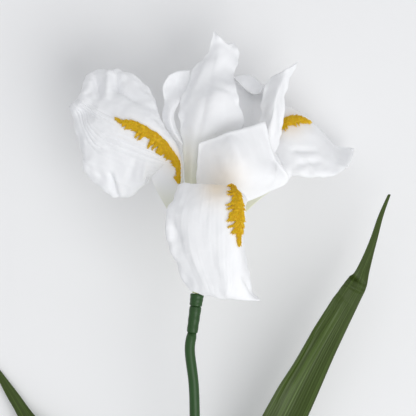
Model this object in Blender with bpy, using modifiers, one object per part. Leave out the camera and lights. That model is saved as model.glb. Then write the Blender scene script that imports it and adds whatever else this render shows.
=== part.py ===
"""A cut stem of an artificial iris, lying on the surface it rests on.

Three falls with golden beards, three standards and three style arms are seated round a turned receptacle.
Two collars join it to a sheathed wire stem with two sword leaves.

Everything is modelled in the flower's frame: the origin is where the petals meet the upper collar, +Y runs
up the flower, +X to its right, and +Z away from the surface below. The root empty then carries the flower
so that the world origin is the bottom centre of its bounding box.
"""

import math

import bmesh
import bpy
import numpy as np
from mathutils import Matrix, Vector

MM = 0.001

# The head: its axis leans to the right of +Y, in the XY plane.
LEAN = math.radians(7.5)
AXIS = np.array([math.sin(LEAN), math.cos(LEAN), 0.0])
ACROSS = np.array([math.cos(LEAN), -math.sin(LEAN), 0.0])
OUT = np.array([0.0, 0.0, 1.0])

GAP = 0.35  # clearance between pieces that touch, mm
PETAL_THICKNESS = 0.7
LEAF_THICKNESS = 0.9

# The surface below, and what reaches it: the cut end of the stem, a fall's margin and a leaf's tip.
FLOOR = -50.5

# Stations where a petal's claw is seated: distance up the axis, radius from it, half width of the claw.
OUTER_SEAT = ((0.5, 3.05, 1.0), (8.0, 3.05, 1.1), (18.0, 5.2, 2.0))
INNER_SEAT = ((9.8, 1.95, 0.7), (15.5, 2.0, 0.8), (21.0, 2.9, 1.2))

RECEPTACLE_RADIUS = 2.2
RECEPTACLE_TIP_RADIUS = 1.25
RECEPTACLE_SHOULDER = 8.4
RECEPTACLE_LENGTH = 17.0
BORE_RADIUS = 1.55
BORE_DEPTH = 5.0

UPPER_COLLAR = (-0.9, -6.3)  # where each collar starts and ends along the axis
UPPER_COLLAR_RADII = (3.15, 2.8)
LOWER_COLLAR = (-6.65, -18.2)
LOWER_COLLAR_RADII = (2.75, 2.5)
RING_COUNT = 3
RING_HEIGHT = 0.15

STEM_TOP = -18.55
STEM_WALL = 0.8
STEM_RADIUS = 2.35
STEM_STEP = 8.0  # spacing of the points along the stem
STEM_END = -262.0
WIRE_RADIUS = 1.0
WIRE_TOP = 4.5
WIRE_PROUD = 1.0

STEM_ROUTE = (
    (-1.7, -42.0, -1.6),
    (-1.2, -60.0, -5.0),
    (-0.5, -100.0, -17.0),
    (0.0, -150.0, -33.5),
    (0.0, -200.0, -45.2),
    (0.0, -236.0, FLOOR + STEM_RADIUS + 0.02),
    (0.0, STEM_END, FLOOR + STEM_RADIUS),
)

WHITE = (0.83, 0.83, 0.84)
GOLD = (0.66, 0.36, 0.02)
PALE_GREEN = (0.42, 0.5, 0.2)
STEM_GREEN = (0.05, 0.13, 0.055)
LEAF_GREEN = (0.075, 0.13, 0.03)
STEEL = (0.45, 0.45, 0.46)


# ---------------------------------------------------------------- objects and materials

def clear_scene():
    for obj in list(bpy.data.objects):
        bpy.data.objects.remove(obj)


def material(name, colour, roughness, metallic=0.0):
    made = bpy.data.materials.new(name)
    made.use_nodes = True
    shader = made.node_tree.nodes["Principled BSDF"]
    shader.inputs["Base Color"].default_value = (*colour, 1)
    shader.inputs["Roughness"].default_value = roughness
    shader.inputs["Metallic"].default_value = metallic
    return made


def add_object(name, data, made_of, group, root):
    obj = bpy.data.objects.new(name, data)
    group.objects.link(obj)
    obj.parent = root
    data.materials.append(made_of)
    return obj


# ---------------------------------------------------------------- curves and sheets

def spline(points, at):
    """A Catmull-Rom curve through the points, read at a position that counts points from 0."""
    points = np.asarray(points, float)
    last = len(points) - 1
    i = min(int(at), last - 1)
    t = at - i
    before = points[i - 1] if i else 2 * points[0] - points[1]
    after = points[i + 2] if i + 2 <= last else 2 * points[last] - points[last - 1]
    a, b = points[i], points[i + 1]
    return 0.5 * (
        2 * a
        + (b - before) * t
        + (2 * before - 5 * a + 4 * b - after) * t**2
        + (3 * a - before - 3 * b + after) * t**3
    )


def along(route, step):
    """Points about one step apart on the smooth curve through the route."""
    fine = [spline(route, t) for t in np.linspace(0, len(route) - 1, 40 * len(route))]
    lengths = np.cumsum([0.0] + [np.linalg.norm(b - a) for a, b in zip(fine, fine[1:])])
    wanted = np.linspace(0, lengths[-1], max(2, round(lengths[-1] / step)))
    return [np.array([np.interp(w, lengths, axis) for axis in np.transpose(fine)]) for w in wanted]


def section_point(row, u):
    """A point across one row of rib points, with u from 0 at the first rib to 1 at the last."""
    return spline(row, u * (len(row) - 1))


def sheet_point(ribs, u, v):
    """A point of the sheet lofted over its ribs, with u across it and v along it, both from 0 to 1."""
    row = [spline(rib, v * (len(rib) - 1)) for rib in ribs]
    return section_point(row, u)


def sheet_normal(ribs, u, v):
    """The unit normal on the side of a petal that faces the flower's axis at its claw."""
    step = 0.01
    across = sheet_point(ribs, min(u + step, 1), v) - sheet_point(ribs, max(u - step, 0), v)
    up = sheet_point(ribs, u, min(v + step, 1)) - sheet_point(ribs, u, max(v - step, 0))
    normal = np.cross(across, up)
    return normal / np.linalg.norm(normal)


def grid_mesh(name, rows, columns, place):
    """A grid primitive whose points are moved to place(u, v), in millimetres."""
    mesh = bpy.data.meshes.new(name)
    built = bmesh.new()
    bmesh.ops.create_grid(built, x_segments=columns, y_segments=rows, size=0.5)
    for vertex in built.verts:
        vertex.co = Vector(place(vertex.co.x + 0.5, vertex.co.y + 0.5)) * MM
    built.to_mesh(mesh)
    built.free()
    mesh.shade_smooth()
    return mesh


def add_sheet(name, rows, columns, place, thickness, made_of, group, root):
    sheet = add_object(name, grid_mesh(name, rows, columns, place), made_of, group, root)
    solid = sheet.modifiers.new("Thickness", "SOLIDIFY")
    solid.thickness = thickness * MM
    solid.offset = 0
    return sheet


# ---------------------------------------------------------------- petals

def seat_points(azimuth, seat, count):
    """The claw's points at its seat: for each rib, one point at each station of the seat."""
    angle = math.radians(azimuth)
    ribs = []
    for share in np.linspace(-1, 1, count):
        rib = []
        for distance, radius, half_width in seat:
            turned = angle + share * half_width / radius
            away = math.cos(turned) * ACROSS + math.sin(turned) * OUT
            rib.append(distance * AXIS + radius * away)
        ribs.append(rib)
    return ribs


def petal_ribs(azimuth, seat, blade):
    """The ribs from the seat to the blade's end, from the margin of lower azimuth to that of higher azimuth."""
    return [start + [np.array(p, float) for p in rib] for start, rib in zip(seat_points(azimuth, seat, len(blade)), blade)]


FALLS = {
    "left": petal_ribs(195, OUTER_SEAT, (
        ((-14, 38, 2), (-20, 49.5, 4), (-21.5, 56.5, 6), (-23.5, 48, 3), (-31, 42, 1), (-39.5, 43, 0),
         (-47.5, 49.5, -1), (-52.5, 56, -3), (-55, 66.5, -5), (-57.5, 77, -6), (-60.5, 83.5, -7)),
        ((-7.5, 38, 4.5), (-8, 49, 8), (-8.5, 57.5, 10), (-11.5, 63, 11.5), (-16.5, 68.5, 12.5), (-22.5, 73, 12),
         (-29.5, 76.5, 10), (-37, 79, 7), (-44, 81.5, 3), (-50, 85, -1), (-55.5, 88.5, -4)),
        ((-6, 38.5, 1.2), (-6.5, 50, 2), (-6.5, 58, 3), (-7.5, 64, 4.5), (-10.5, 69.5, 4.5), (-15, 78, 2),
         (-18.5, 88, -2), (-25.5, 96.5, -6), (-35.5, 101.5, -8), (-45, 101.5, -9), (-50.5, 99, -8)),
    )),
    "front": petal_ribs(75, OUTER_SEAT, (
        ((12, 29.5, 12), (17, 37.5, 18), (19.5, 42, 23), (21, 43.5, 27), (22, 40, 28), (21, 31.5, 22),
         (20.5, 22.5, 20), (22.5, 13, 25), (25, 4, 30), (27.5, -2, 34)),
        ((7, 29, 14), (11, 38.5, 24), (13, 44.5, 31), (14.5, 47, 37), (17, 42.5, 42), (17.5, 34.5, 43.5),
         (17.5, 23, 43), (17.5, 13, 42), (17.5, 4.5, 40), (15, -2.5, 37)),
        ((3.5, 28.5, 13), (3, 38.5, 23), (2.5, 44.5, 30), (3, 48, 36), (2, 42.5, 41), (0.5, 32.5, 42),
         (1.5, 22.5, 41), (4, 12, 39), (6.5, 3.5, 37), (6.5, -1.5, 33)),
        ((0, 28, 11), (-5, 38, 18), (-7, 44, 23), (-8.5, 48.5, 29), (-11, 43, 32), (-14.5, 33.5, 33),
         (-13.5, 22.5, 31), (-10, 13.5, 29), (-6, 4.5, 27), (-2.5, 1, 25)),
    )),
    "right": petal_ribs(315, OUTER_SEAT, (
        ((11, 33.5, -8), (18.5, 46, -14), (24, 59, -24), (30, 69.5, -34), (37.5, 77, -43), (48, 74.5, -49),
         (58.5, 65, -50.2), (66, 60.5, -46), (71, 61, -40)),
        ((13.5, 35, -7), (22, 47.5, -11), (28, 63.5, -17), (32.5, 77.5, -24), (38.5, 85.5, -29), (47.5, 81.5, -34),
         (56.5, 74.5, -38), (64.5, 66.5, -38), (72.5, 66, -37)),
        ((16, 35.5, -6), (26, 47, -9), (32, 62, -12), (36, 71.5, -15), (41, 77, -17), (49.5, 77.5, -22),
         (57, 71.5, -28), (64.5, 64.5, -33), (72.5, 65, -35)),
        ((21, 35, -5.5), (31, 44, -7), (38.5, 49, -8), (42.5, 52.5, -7), (48, 52.5, -6), (55.5, 52.5, -7),
         (62, 53.5, -11), (67.5, 56.5, -17), (70.5, 58.5, -24)),
    )),
}

STANDARDS = {
    "centre": petal_ribs(135, OUTER_SEAT, (
        ((0, 37, 5), (0.5, 50.5, 6), (8, 63, 6), (20, 74.5, 4), (18, 86, 5), (17, 92.5, 3), (16, 97.5, -4),
         (19, 107, -9), (16, 113, -12)),
        ((-1, 37, 6.5), (-1, 50.5, 8), (2.5, 64.5, 9), (11, 76, 10), (10.5, 86, 10), (10, 92, 7), (10.5, 98.5, -2),
         (14, 106.5, -7), (13, 111.5, -10)),
        ((-3, 37, 7), (-3, 50.5, 8.5), (-2, 64.5, 9), (0, 76, 9), (2.5, 86, 8), (4.5, 91.5, 5), (5.5, 99.5, 0),
         (9, 108.5, -5), (10, 115, -8)),
        ((-5, 37, 5.2), (-5.3, 50, 5.5), (-6, 65.5, 4), (-7.5, 77.5, 0), (-7.5, 85.5, -3), (-4.5, 92, -5),
         (-2, 100.5, -7), (4.5, 108, -8), (7.5, 118, -9)),
    )),
    "right": petal_ribs(15, OUTER_SEAT, (
        ((13, 37, -1), (26, 50.5, -1), (35, 63.5, -2), (37.5, 73, -5), (38.5, 85, -6), (40.5, 93.5, -7),
         (45, 104, -10)),
        ((11, 37, 3), (23.5, 50.5, 3), (31, 65, 1), (33, 75, 3), (34.5, 83.5, 4), (37, 92, 1), (39, 99.5, -5)),
        ((8.5, 37, 4), (19, 49.5, 3), (27, 64, 0), (29, 75.5, -4), (29.5, 84.5, -5), (30.5, 91, -5), (33.5, 97, -7)),
    )),
    "back": petal_ribs(255, OUTER_SEAT, (
        ((3, 37, -7), (3.5, 55, -9), (4.5, 73.5, -10), (5.5, 85, -14), (11, 94, -19), (15.5, 97.5, -20),
         (19, 94.5, -16)),
        ((6.5, 37, -8), (12.5, 55, -12), (17.5, 73.5, -16), (20.5, 85.5, -20), (22.5, 94.5, -24), (24, 98.5, -19),
         (24.5, 90, -13)),
        ((10, 37, -8), (22, 55, -14), (29.5, 73.5, -15), (31, 84.5, -16), (32, 89.5, -18), (30.5, 93.5, -13),
         (29, 89.5, -9)),
    )),
}

STYLE_ARMS = {
    "front": petal_ribs(75, INNER_SEAT, (
        ((8, 27.5, 5.5), (18, 38.5, 8), (29, 44, 6), (40.5, 50.5, 3), (34, 60.5, 6), (30, 76.5, 6)),
        ((4.5, 27, 6.5), (8, 38, 12), (13.5, 46, 18), (18, 53, 22), (18, 62.5, 22), (16, 71.5, 18)),
        ((1.5, 27, 5.5), (0.5, 38, 9), (0, 46.5, 12), (0, 54.5, 13), (0.5, 61, 13), (1, 66.5, 13)),
    )),
    "left": petal_ribs(195, INNER_SEAT, (
        ((-4.5, 37, 0), (-6.5, 59.5, -1), (-8, 65.5, 0), (-13.5, 73, 0), (-16, 79.5, -1), (-15, 86, -3),
         (-15.5, 92.5, -5), (-13, 98, -7)),
        ((-3.5, 37, 0.5), (-4.5, 59.5, 1.5), (-6, 65, 3), (-11, 73, 3.5), (-12.5, 79.5, 3), (-12, 85.5, -2),
         (-10, 93, -11), (-8.5, 100, -9)),
        ((-2, 37, -2), (-3.5, 59.5, -1.5), (-4.5, 65, 0), (-9, 73, 0), (-10.5, 79.5, 0), (-8.5, 85, -3),
         (-4, 92.5, -7), (-3.5, 100.5, -8)),
    )),
    "right": petal_ribs(315, INNER_SEAT, (
        ((9.5, 33.5, -4), (21, 46, -5), (29, 59.5, -6), (32, 66.5, -7)),
        ((13, 34.5, -3), (25, 47.5, -4), (32.5, 58.5, -4), (35, 64, -6)),
        ((16, 35, -3), (29, 46, -4), (38, 53.5, -6), (39, 56.5, -8)),
    )),
}

PETAL_COLUMNS = 8
ROWS_PER_STATION = 1.6


def add_petals(group, root):
    fabric = material("Coated white fabric", WHITE, 0.75)
    for kind, petals in (("fall", FALLS), ("standard", STANDARDS), ("style_arm", STYLE_ARMS)):
        for side, ribs in petals.items():
            rows = round(ROWS_PER_STATION * (len(ribs[0]) - 1))
            place = lambda u, v, ribs=ribs: sheet_point(ribs, u, v)
            add_sheet(f"{kind}_{side}", rows, PETAL_COLUMNS, place, PETAL_THICKNESS, fabric, group, root)


# ---------------------------------------------------------------- beards

BEARD_THICKNESS = 1.0
BEARD_ROWS = 12
BEARD_COLUMNS = 4

# For each fall: where its beard starts and ends along the fall, in stations, where it lies across the fall,
# and its half width at even steps from the throat to the tip.
BEARDS = {
    "left": (4.0, 10.0, 0.5, (1.0, 1.4, 2.4, 3.6, 3.6, 2.4, 0.6)),
    "front": (6.0, 9.1, 1 / 3, (1.0, 3.0, 4.0, 3.6, 0.8)),
    "right": (6.0, 8.2, 2 / 3, (1.2, 2.6, 2.6, 0.8)),
}


def beard_place(ribs, first, last, middle, half_widths):
    """The place on the beard's middle sheet for u across it and v from the throat to the tip."""
    lift = PETAL_THICKNESS / 2 + GAP + BEARD_THICKNESS / 2
    stations = len(ribs[0]) - 1

    def place(u, v):
        along_fall = (first + v * (last - first)) / stations
        half_width = spline([(w,) for w in half_widths], v * (len(half_widths) - 1))[0]
        step = 0.02
        run = sheet_point(ribs, middle + step, along_fall) - sheet_point(ribs, middle - step, along_fall)
        offset = (2 * u - 1) * half_width * 2 * step / np.linalg.norm(run)
        across = min(max(middle + offset, 0.02), 0.98)
        return sheet_point(ribs, across, along_fall) + lift * sheet_normal(ribs, across, along_fall)

    return place


def add_beards(group, root):
    gold = material("Golden moulded beard", GOLD, 0.5)
    for side, (first, last, middle, half_widths) in BEARDS.items():
        place = beard_place(FALLS[side], first, last, middle, half_widths)
        add_sheet(f"beard_{side}", BEARD_ROWS, BEARD_COLUMNS, place, BEARD_THICKNESS, gold, group, root)


# ---------------------------------------------------------------- head and stem

def add_turned(name, profile, made_of, group, root, steps=24):
    """A solid turned about the head's axis, from (radius, distance up the axis) pairs that run down its
    outer side and, where it is bored, up the bore."""
    mesh = bpy.data.meshes.new(name)
    count = len(profile)
    edges = [(i, i + 1) for i in range(count - 1)]
    bored = profile[0][0] > 0
    if bored:
        edges.append((count - 1, 0))
    mesh.from_pydata([(radius * MM, 0, height * MM) for radius, height in profile], edges, [])
    turned = add_object(name, mesh, made_of, group, root)
    screw = turned.modifiers.new("Turned", "SCREW")
    screw.steps = screw.render_steps = steps
    screw.use_merge_vertices = True
    screw.merge_threshold = 0.00001
    screw.use_smooth_shade = True
    turned.matrix_local = Matrix((
        (ACROSS[0], -OUT[0], AXIS[0], 0),
        (ACROSS[1], -OUT[1], AXIS[1], 0),
        (ACROSS[2], -OUT[2], AXIS[2], 0),
        (0, 0, 0, 1),
    ))
    return turned


def ringed(start, end, radii):
    """The outer profile of a collar with shallow rings, down from its start to its end."""
    profile = []
    samples = 4 * RING_COUNT
    for i in range(samples + 1):
        share = i / samples
        ring = RING_HEIGHT * math.sin(math.pi * RING_COUNT * share) ** 2
        profile.append((radii[0] + share * (radii[1] - radii[0]) - RING_HEIGHT + ring, start + share * (end - start)))
    return profile


def add_head(group, root):
    pale = material("Pale green moulded receptacle", PALE_GREEN, 0.5)
    green = material("Glossy green moulded collar", STEM_GREEN, 0.3)
    receptacle = (
        (0, RECEPTACLE_LENGTH),
        (RECEPTACLE_TIP_RADIUS - 0.35, RECEPTACLE_LENGTH),
        (RECEPTACLE_TIP_RADIUS, RECEPTACLE_LENGTH - 0.5),
        (RECEPTACLE_TIP_RADIUS, RECEPTACLE_SHOULDER + 0.5),
        (RECEPTACLE_RADIUS, RECEPTACLE_SHOULDER),
        (RECEPTACLE_RADIUS, UPPER_COLLAR[0] + GAP),
        (BORE_RADIUS, UPPER_COLLAR[0] + GAP),
        (BORE_RADIUS, BORE_DEPTH),
        (0, BORE_DEPTH),
    )
    add_turned("receptacle", receptacle, pale, group, root)
    for name, (start, end), radii in (
        ("collar_upper", UPPER_COLLAR, UPPER_COLLAR_RADII),
        ("collar_lower", LOWER_COLLAR, LOWER_COLLAR_RADII),
    ):
        bore = [(BORE_RADIUS, end), (BORE_RADIUS, start)]
        add_turned(name, ringed(start, end, radii) + bore, green, group, root)


def stem_points(top):
    """The centre line from a distance up the head's axis down to the cut end."""
    straight = [top * AXIS, 0.5 * (top + STEM_TOP) * AXIS, STEM_TOP * AXIS, (STEM_TOP - 8.0) * AXIS]
    first = 2 if top == STEM_TOP else 0
    return straight[first:] + [np.array(p) for p in STEM_ROUTE]


def add_tube(name, points, radius, capped, made_of, group, root):
    curve = bpy.data.curves.new(name, "CURVE")
    curve.dimensions = "3D"
    curve.bevel_depth = radius * MM
    curve.bevel_resolution = 3
    curve.use_fill_caps = capped
    line = curve.splines.new("POLY")
    line.points.add(len(points) - 1)
    for point, place in zip(line.points, points):
        point.co = (*(place * MM), 1)
    return add_object(name, curve, made_of, group, root)


def add_stem(group, root):
    green = material("Glossy green sheathed stem", STEM_GREEN, 0.3)
    steel = material("Drawn steel wire", STEEL, 0.4, 1.0)
    wall = add_tube("stem", along(stem_points(STEM_TOP), STEM_STEP), STEM_RADIUS, False, green, group, root)
    solid = wall.modifiers.new("Wall", "SOLIDIFY")
    solid.thickness = STEM_WALL * MM
    solid.offset = -1
    route = along(stem_points(WIRE_TOP), STEM_STEP)
    route.append(route[-1] + np.array([0, -WIRE_PROUD, 0]))
    add_tube("stem_wire", route, WIRE_RADIUS, True, steel, group, root)


# ---------------------------------------------------------------- leaves

LEAF_CLASP_RADII = (6.3, 4.1)
LEAF_CLASP_ANGLE = 60
LEAF_COLUMNS = 6
LEAF_ROWS = 22

# Each leaf: the side of the stem it clasps, where its clasp starts and ends along Y, and the blade's left
# margin, midline and right margin beyond the clasp.
LEAVES = {
    "right": (1, (-166.0, -148.0), (
        ((6.5, -124, -32), (16.5, -87, -26), (29.5, -58, -21), (45.5, -30, -18), (60.5, -6, -15), (67, 3.5, -14),
         (72, 9, -14), (78, 21, -16), (83, 34, -19), (87.5, 43.5, -22)),
        ((11, -126, -34), (25, -89, -29), (40, -58, -24), (54, -30, -20), (67.5, -6, -16), (72.5, 2.5, -14),
         (75, 9, -15), (80, 21, -17), (84, 34, -19.5), (88, 44, -22)),
        ((17, -128, -32), (34.5, -91, -26), (50.5, -58, -21), (62.5, -30, -18), (73.5, -6, -15), (77, 1.5, -15),
         (78.5, 8.5, -16), (81.5, 21, -18), (85, 34, -20), (88.5, 44, -22)),
    )),
    "left": (-1, (-186.0, -172.0), (
        ((-30, -142.5, -37), (-57, -107.5, -36), (-74, -81.5, -39), (-84.5, -60, -43), (-90, -50.5, -46),
         (-96, -39.5, -48.8), (-101, -32, -50.05)),
        ((-22.5, -141.5, -39), (-50.5, -102.5, -39), (-69.5, -77, -42), (-80.5, -59.5, -44.5), (-87.5, -48.5, -46.5),
         (-95, -38, -49), (-100.5, -31.5, -50.05)),
        ((-16.5, -137.5, -37), (-44, -95.5, -36), (-64, -71.5, -39), (-76.5, -60, -43), (-84.5, -50, -46),
         (-93.5, -39, -48.8), (-100, -31.5, -50.05)),
    )),
}


def clasp_points(side, start, end):
    """The leaf's ribs where it clasps the stem: left margin, midline and right margin at each end."""
    centre_line = stem_points(STEM_TOP)
    fine = along(centre_line, 1.0)
    ribs = []
    for angle in (-side * LEAF_CLASP_ANGLE, 0, side * LEAF_CLASP_ANGLE):
        rib = []
        for y, radius in zip((start, end), LEAF_CLASP_RADII):
            centre = min(fine, key=lambda point: abs(point[1] - y))
            turned = math.radians(angle)
            away = np.array([side * math.cos(turned), 0, math.sin(turned)])
            rib.append(centre + radius * away)
        ribs.append(rib)
    return ribs


def add_leaves(group, root):
    green = material("Coated green leaf", LEAF_GREEN, 0.5)
    for side_name, (side, (start, end), blade) in LEAVES.items():
        clasp = clasp_points(side, start, end)
        ribs = [base + [np.array(p, float) for p in rib] for base, rib in zip(clasp, blade)]
        place = lambda u, v, ribs=ribs: sheet_point(ribs, u, v)
        add_sheet(f"leaf_{side_name}", LEAF_ROWS, LEAF_COLUMNS, place, LEAF_THICKNESS, green, group, root)


# ---------------------------------------------------------------- the flower

def rest_on_origin(group, root):
    """Moves the root so that the bottom centre of the flower's box is the world origin."""
    bpy.context.view_layer.update()
    graph = bpy.context.evaluated_depsgraph_get()
    corners = []
    for obj in group.objects:
        if obj is root:
            continue
        evaluated = obj.evaluated_get(graph)
        mesh = evaluated.to_mesh()
        corners += [evaluated.matrix_world @ vertex.co for vertex in mesh.vertices]
        evaluated.to_mesh_clear()
    low = np.min(corners, axis=0)
    high = np.max(corners, axis=0)
    root.location = (-(low[0] + high[0]) / 2, -(low[1] + high[1]) / 2, -low[2])


def main():
    clear_scene()
    group = bpy.data.collections.new("Iris flower")
    bpy.context.scene.collection.children.link(group)
    root = bpy.data.objects.new("root", None)
    group.objects.link(root)
    add_petals(group, root)
    add_beards(group, root)
    add_head(group, root)
    add_stem(group, root)
    add_leaves(group, root)
    rest_on_origin(group, root)


main()
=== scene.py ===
"""Looks of the artificial iris: creased white petals, golden bristle beards, a glossy stem and sword leaves.

Lengths in the classes are in millimetres, in the flower's frame: its origin is where the petals meet the
upper collar, +Y runs up the flower, +X to its right and +Z away from the surface that it lies on.
"""

import logging
import math
from dataclasses import dataclass
from enum import Enum
from typing import Sequence

import bmesh
import bpy
import numpy as np
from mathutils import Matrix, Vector, noise


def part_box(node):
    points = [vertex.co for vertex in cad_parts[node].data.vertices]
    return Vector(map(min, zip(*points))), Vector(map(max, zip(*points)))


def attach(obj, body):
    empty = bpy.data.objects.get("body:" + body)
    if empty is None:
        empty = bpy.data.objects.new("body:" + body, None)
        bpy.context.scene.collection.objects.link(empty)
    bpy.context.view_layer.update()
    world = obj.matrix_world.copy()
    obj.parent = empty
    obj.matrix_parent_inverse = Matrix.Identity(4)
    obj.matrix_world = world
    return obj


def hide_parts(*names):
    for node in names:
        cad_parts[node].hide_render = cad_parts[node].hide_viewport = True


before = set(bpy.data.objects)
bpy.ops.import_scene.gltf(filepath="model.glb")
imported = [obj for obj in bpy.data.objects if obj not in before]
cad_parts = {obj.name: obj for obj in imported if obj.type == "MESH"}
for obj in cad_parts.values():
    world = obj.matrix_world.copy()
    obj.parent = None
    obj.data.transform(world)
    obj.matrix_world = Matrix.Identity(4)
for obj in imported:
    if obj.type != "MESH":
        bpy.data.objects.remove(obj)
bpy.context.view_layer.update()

log = logging.getLogger("iris")
MM = 0.001
LEAN = math.radians(7.5)
AXIS = np.array([math.sin(LEAN), math.cos(LEAN), 0.0])
ACROSS = np.array([math.cos(LEAN), -math.sin(LEAN), 0.0])
OUT = np.array([0.0, 0.0, 1.0])
COLLAR_MIDDLE = 3.6  # from the flower's origin down the axis to the middle of the upper collar
Point = tuple[float, float, float]


def box_middle(node: str) -> np.ndarray:
    """The middle of a CAD node's box, in millimetres."""
    low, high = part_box(node)
    return (np.array(low) + np.array(high)) / 2 / MM


ORIGIN = box_middle("collar_upper") + COLLAR_MIDDLE * AXIS


# ------------------------------------------------------------------ colours and shader nodes


def linear(code: str) -> tuple[float, float, float, float]:
    """The linear colour of an sRGB hex code.

    Args:
        code: Six hex digits.

    Returns:
        Red, green, blue and an alpha of 1.
    """
    shares = [int(code[i : i + 2], 16) / 255 for i in (0, 2, 4)]
    light = [s / 12.92 if s <= 0.04045 else ((s + 0.055) / 1.055) ** 2.4 for s in shares]
    return (*light, 1.0)


def add_node(
    tree: bpy.types.NodeTree, kind: str, inputs: dict | None = None, **settings: object
) -> bpy.types.Node:
    """Adds one node to a tree.

    Args:
        tree: The tree that takes it.
        kind: Its type, such as ShaderNodeBump.
        inputs: For each input, by name or number, a value or the output socket to link.
        settings: The node's own properties.

    Returns:
        The new node.
    """
    node = tree.nodes.new(kind)
    for name, value in settings.items():
        setattr(node, name, value)
    for key, value in (inputs or {}).items():
        if isinstance(value, bpy.types.NodeSocket):
            tree.links.new(value, node.inputs[key])
        else:
            node.inputs[key].default_value = value
    return node


def blank_material(name: str) -> tuple[bpy.types.Material, bpy.types.NodeTree, bpy.types.Node]:
    """A material with one Principled shader.

    Args:
        name: The material's name.

    Returns:
        The material, its node tree and the shader.
    """
    made = bpy.data.materials.new(name)
    made.use_nodes = True
    return made, made.node_tree, made.node_tree.nodes["Principled BSDF"]


@dataclass(frozen=True)
class PetalFabric:
    """Polyester petal fabric, heat pressed with veins and coated: matte, with a soft glow near its edges."""

    white: str = "FDFDFE"
    shade: str = "F6F7F9"
    throat: str = "D9DA9C"
    gold: str = "E3B23A"
    roughness: float = 0.72
    vein_count: float = 34.0  # pressed veins across a petal
    vein_breaks: float = 2.2  # how often a vein fades and starts again along it
    vein_depth: float = 0.35  # mm
    patches: float = 60.0  # per metre: the coating is uneven over about 17 mm
    weave: float = 0.35  # thread spacing, mm
    thread_depth: float = 0.1  # mm
    glow_depth: float = 2.5  # how far light spreads in the cloth, mm

    def build(self) -> bpy.types.Material:
        """Builds the material, which reads the petal map and the throat and gold attributes.

        Returns:
            The material.
        """
        made, tree, shader = blank_material("Coated white petal fabric")
        uv = add_node(tree, "ShaderNodeUVMap", uv_map="petal")
        place = add_node(tree, "ShaderNodeTexCoord")
        stretch = add_node(
            tree, "ShaderNodeMapping",
            {"Vector": uv.outputs["UV"], "Scale": (self.vein_count, self.vein_breaks, 1)},
        )
        veins = add_node(
            tree, "ShaderNodeTexNoise", {"Vector": stretch.outputs["Vector"], "Scale": 1.0, "Detail": 3.0}
        )
        cloud = add_node(
            tree, "ShaderNodeTexNoise",
            {"Vector": place.outputs["Object"], "Scale": self.patches, "Detail": 2.0},
        )
        cloth = add_node(
            tree, "ShaderNodeTexVoronoi",
            {"Vector": place.outputs["Object"], "Scale": 1 / (self.weave * MM)},
        )
        base = add_node(
            tree, "ShaderNodeMix",
            {0: cloud.outputs["Fac"], 6: linear(self.white), 7: linear(self.shade)}, data_type="RGBA",
        )
        throat = add_node(tree, "ShaderNodeAttribute", attribute_name="throat")
        tinted = add_node(
            tree, "ShaderNodeMix",
            {0: throat.outputs["Fac"], 6: base.outputs[2], 7: linear(self.throat)}, data_type="RGBA",
        )
        gold = add_node(tree, "ShaderNodeAttribute", attribute_name="gold")
        stained = add_node(
            tree, "ShaderNodeMix",
            {0: gold.outputs["Fac"], 6: tinted.outputs[2], 7: linear(self.gold)}, data_type="RGBA",
        )
        tree.links.new(stained.outputs[2], shader.inputs["Base Color"])
        ribs = add_node(
            tree, "ShaderNodeBump",
            {"Height": veins.outputs["Fac"], "Strength": 0.12, "Distance": self.vein_depth * MM},
        )
        threads = add_node(
            tree, "ShaderNodeBump",
            {"Height": cloth.outputs["Distance"], "Normal": ribs.outputs["Normal"], "Strength": 0.06,
             "Distance": self.thread_depth * MM},
        )
        tree.links.new(threads.outputs["Normal"], shader.inputs["Normal"])
        shader.inputs["Roughness"].default_value = self.roughness
        shader.inputs["Specular IOR Level"].default_value = 0.3
        shader.inputs["Subsurface Weight"].default_value = 0.22
        shader.inputs["Subsurface Radius"].default_value = (1.0, 1.0, 1.0)
        shader.inputs["Subsurface Scale"].default_value = self.glow_depth * MM
        shader.inputs["Sheen Weight"].default_value = 0.08
        return made


@dataclass(frozen=True)
class BeardBristle:
    """Moulded polyethylene bristles, dyed golden: satin, deeper between the bristles."""

    light: str = "F4CE10"
    deep: str = "DFAE06"
    roughness: float = 0.5
    mottle: float = 700.0  # per metre: the dye varies over about 1.4 mm
    glow_depth: float = 1.0  # how far light spreads in a bristle, mm

    def build(self) -> bpy.types.Material:
        """Builds the material, mottled in object space.

        Returns:
            The material.
        """
        made, tree, shader = blank_material("Golden moulded bristle")
        place = add_node(tree, "ShaderNodeTexCoord")
        spots = add_node(
            tree, "ShaderNodeTexNoise",
            {"Vector": place.outputs["Object"], "Scale": self.mottle, "Detail": 2.0},
        )
        mixed = add_node(
            tree, "ShaderNodeMix", {0: spots.outputs["Fac"], 6: linear(self.light), 7: linear(self.deep)},
            data_type="RGBA",
        )
        tree.links.new(mixed.outputs[2], shader.inputs["Base Color"])
        shader.inputs["Roughness"].default_value = self.roughness
        shader.inputs["Subsurface Weight"].default_value = 0.1
        shader.inputs["Subsurface Scale"].default_value = self.glow_depth * MM
        return made


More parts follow.
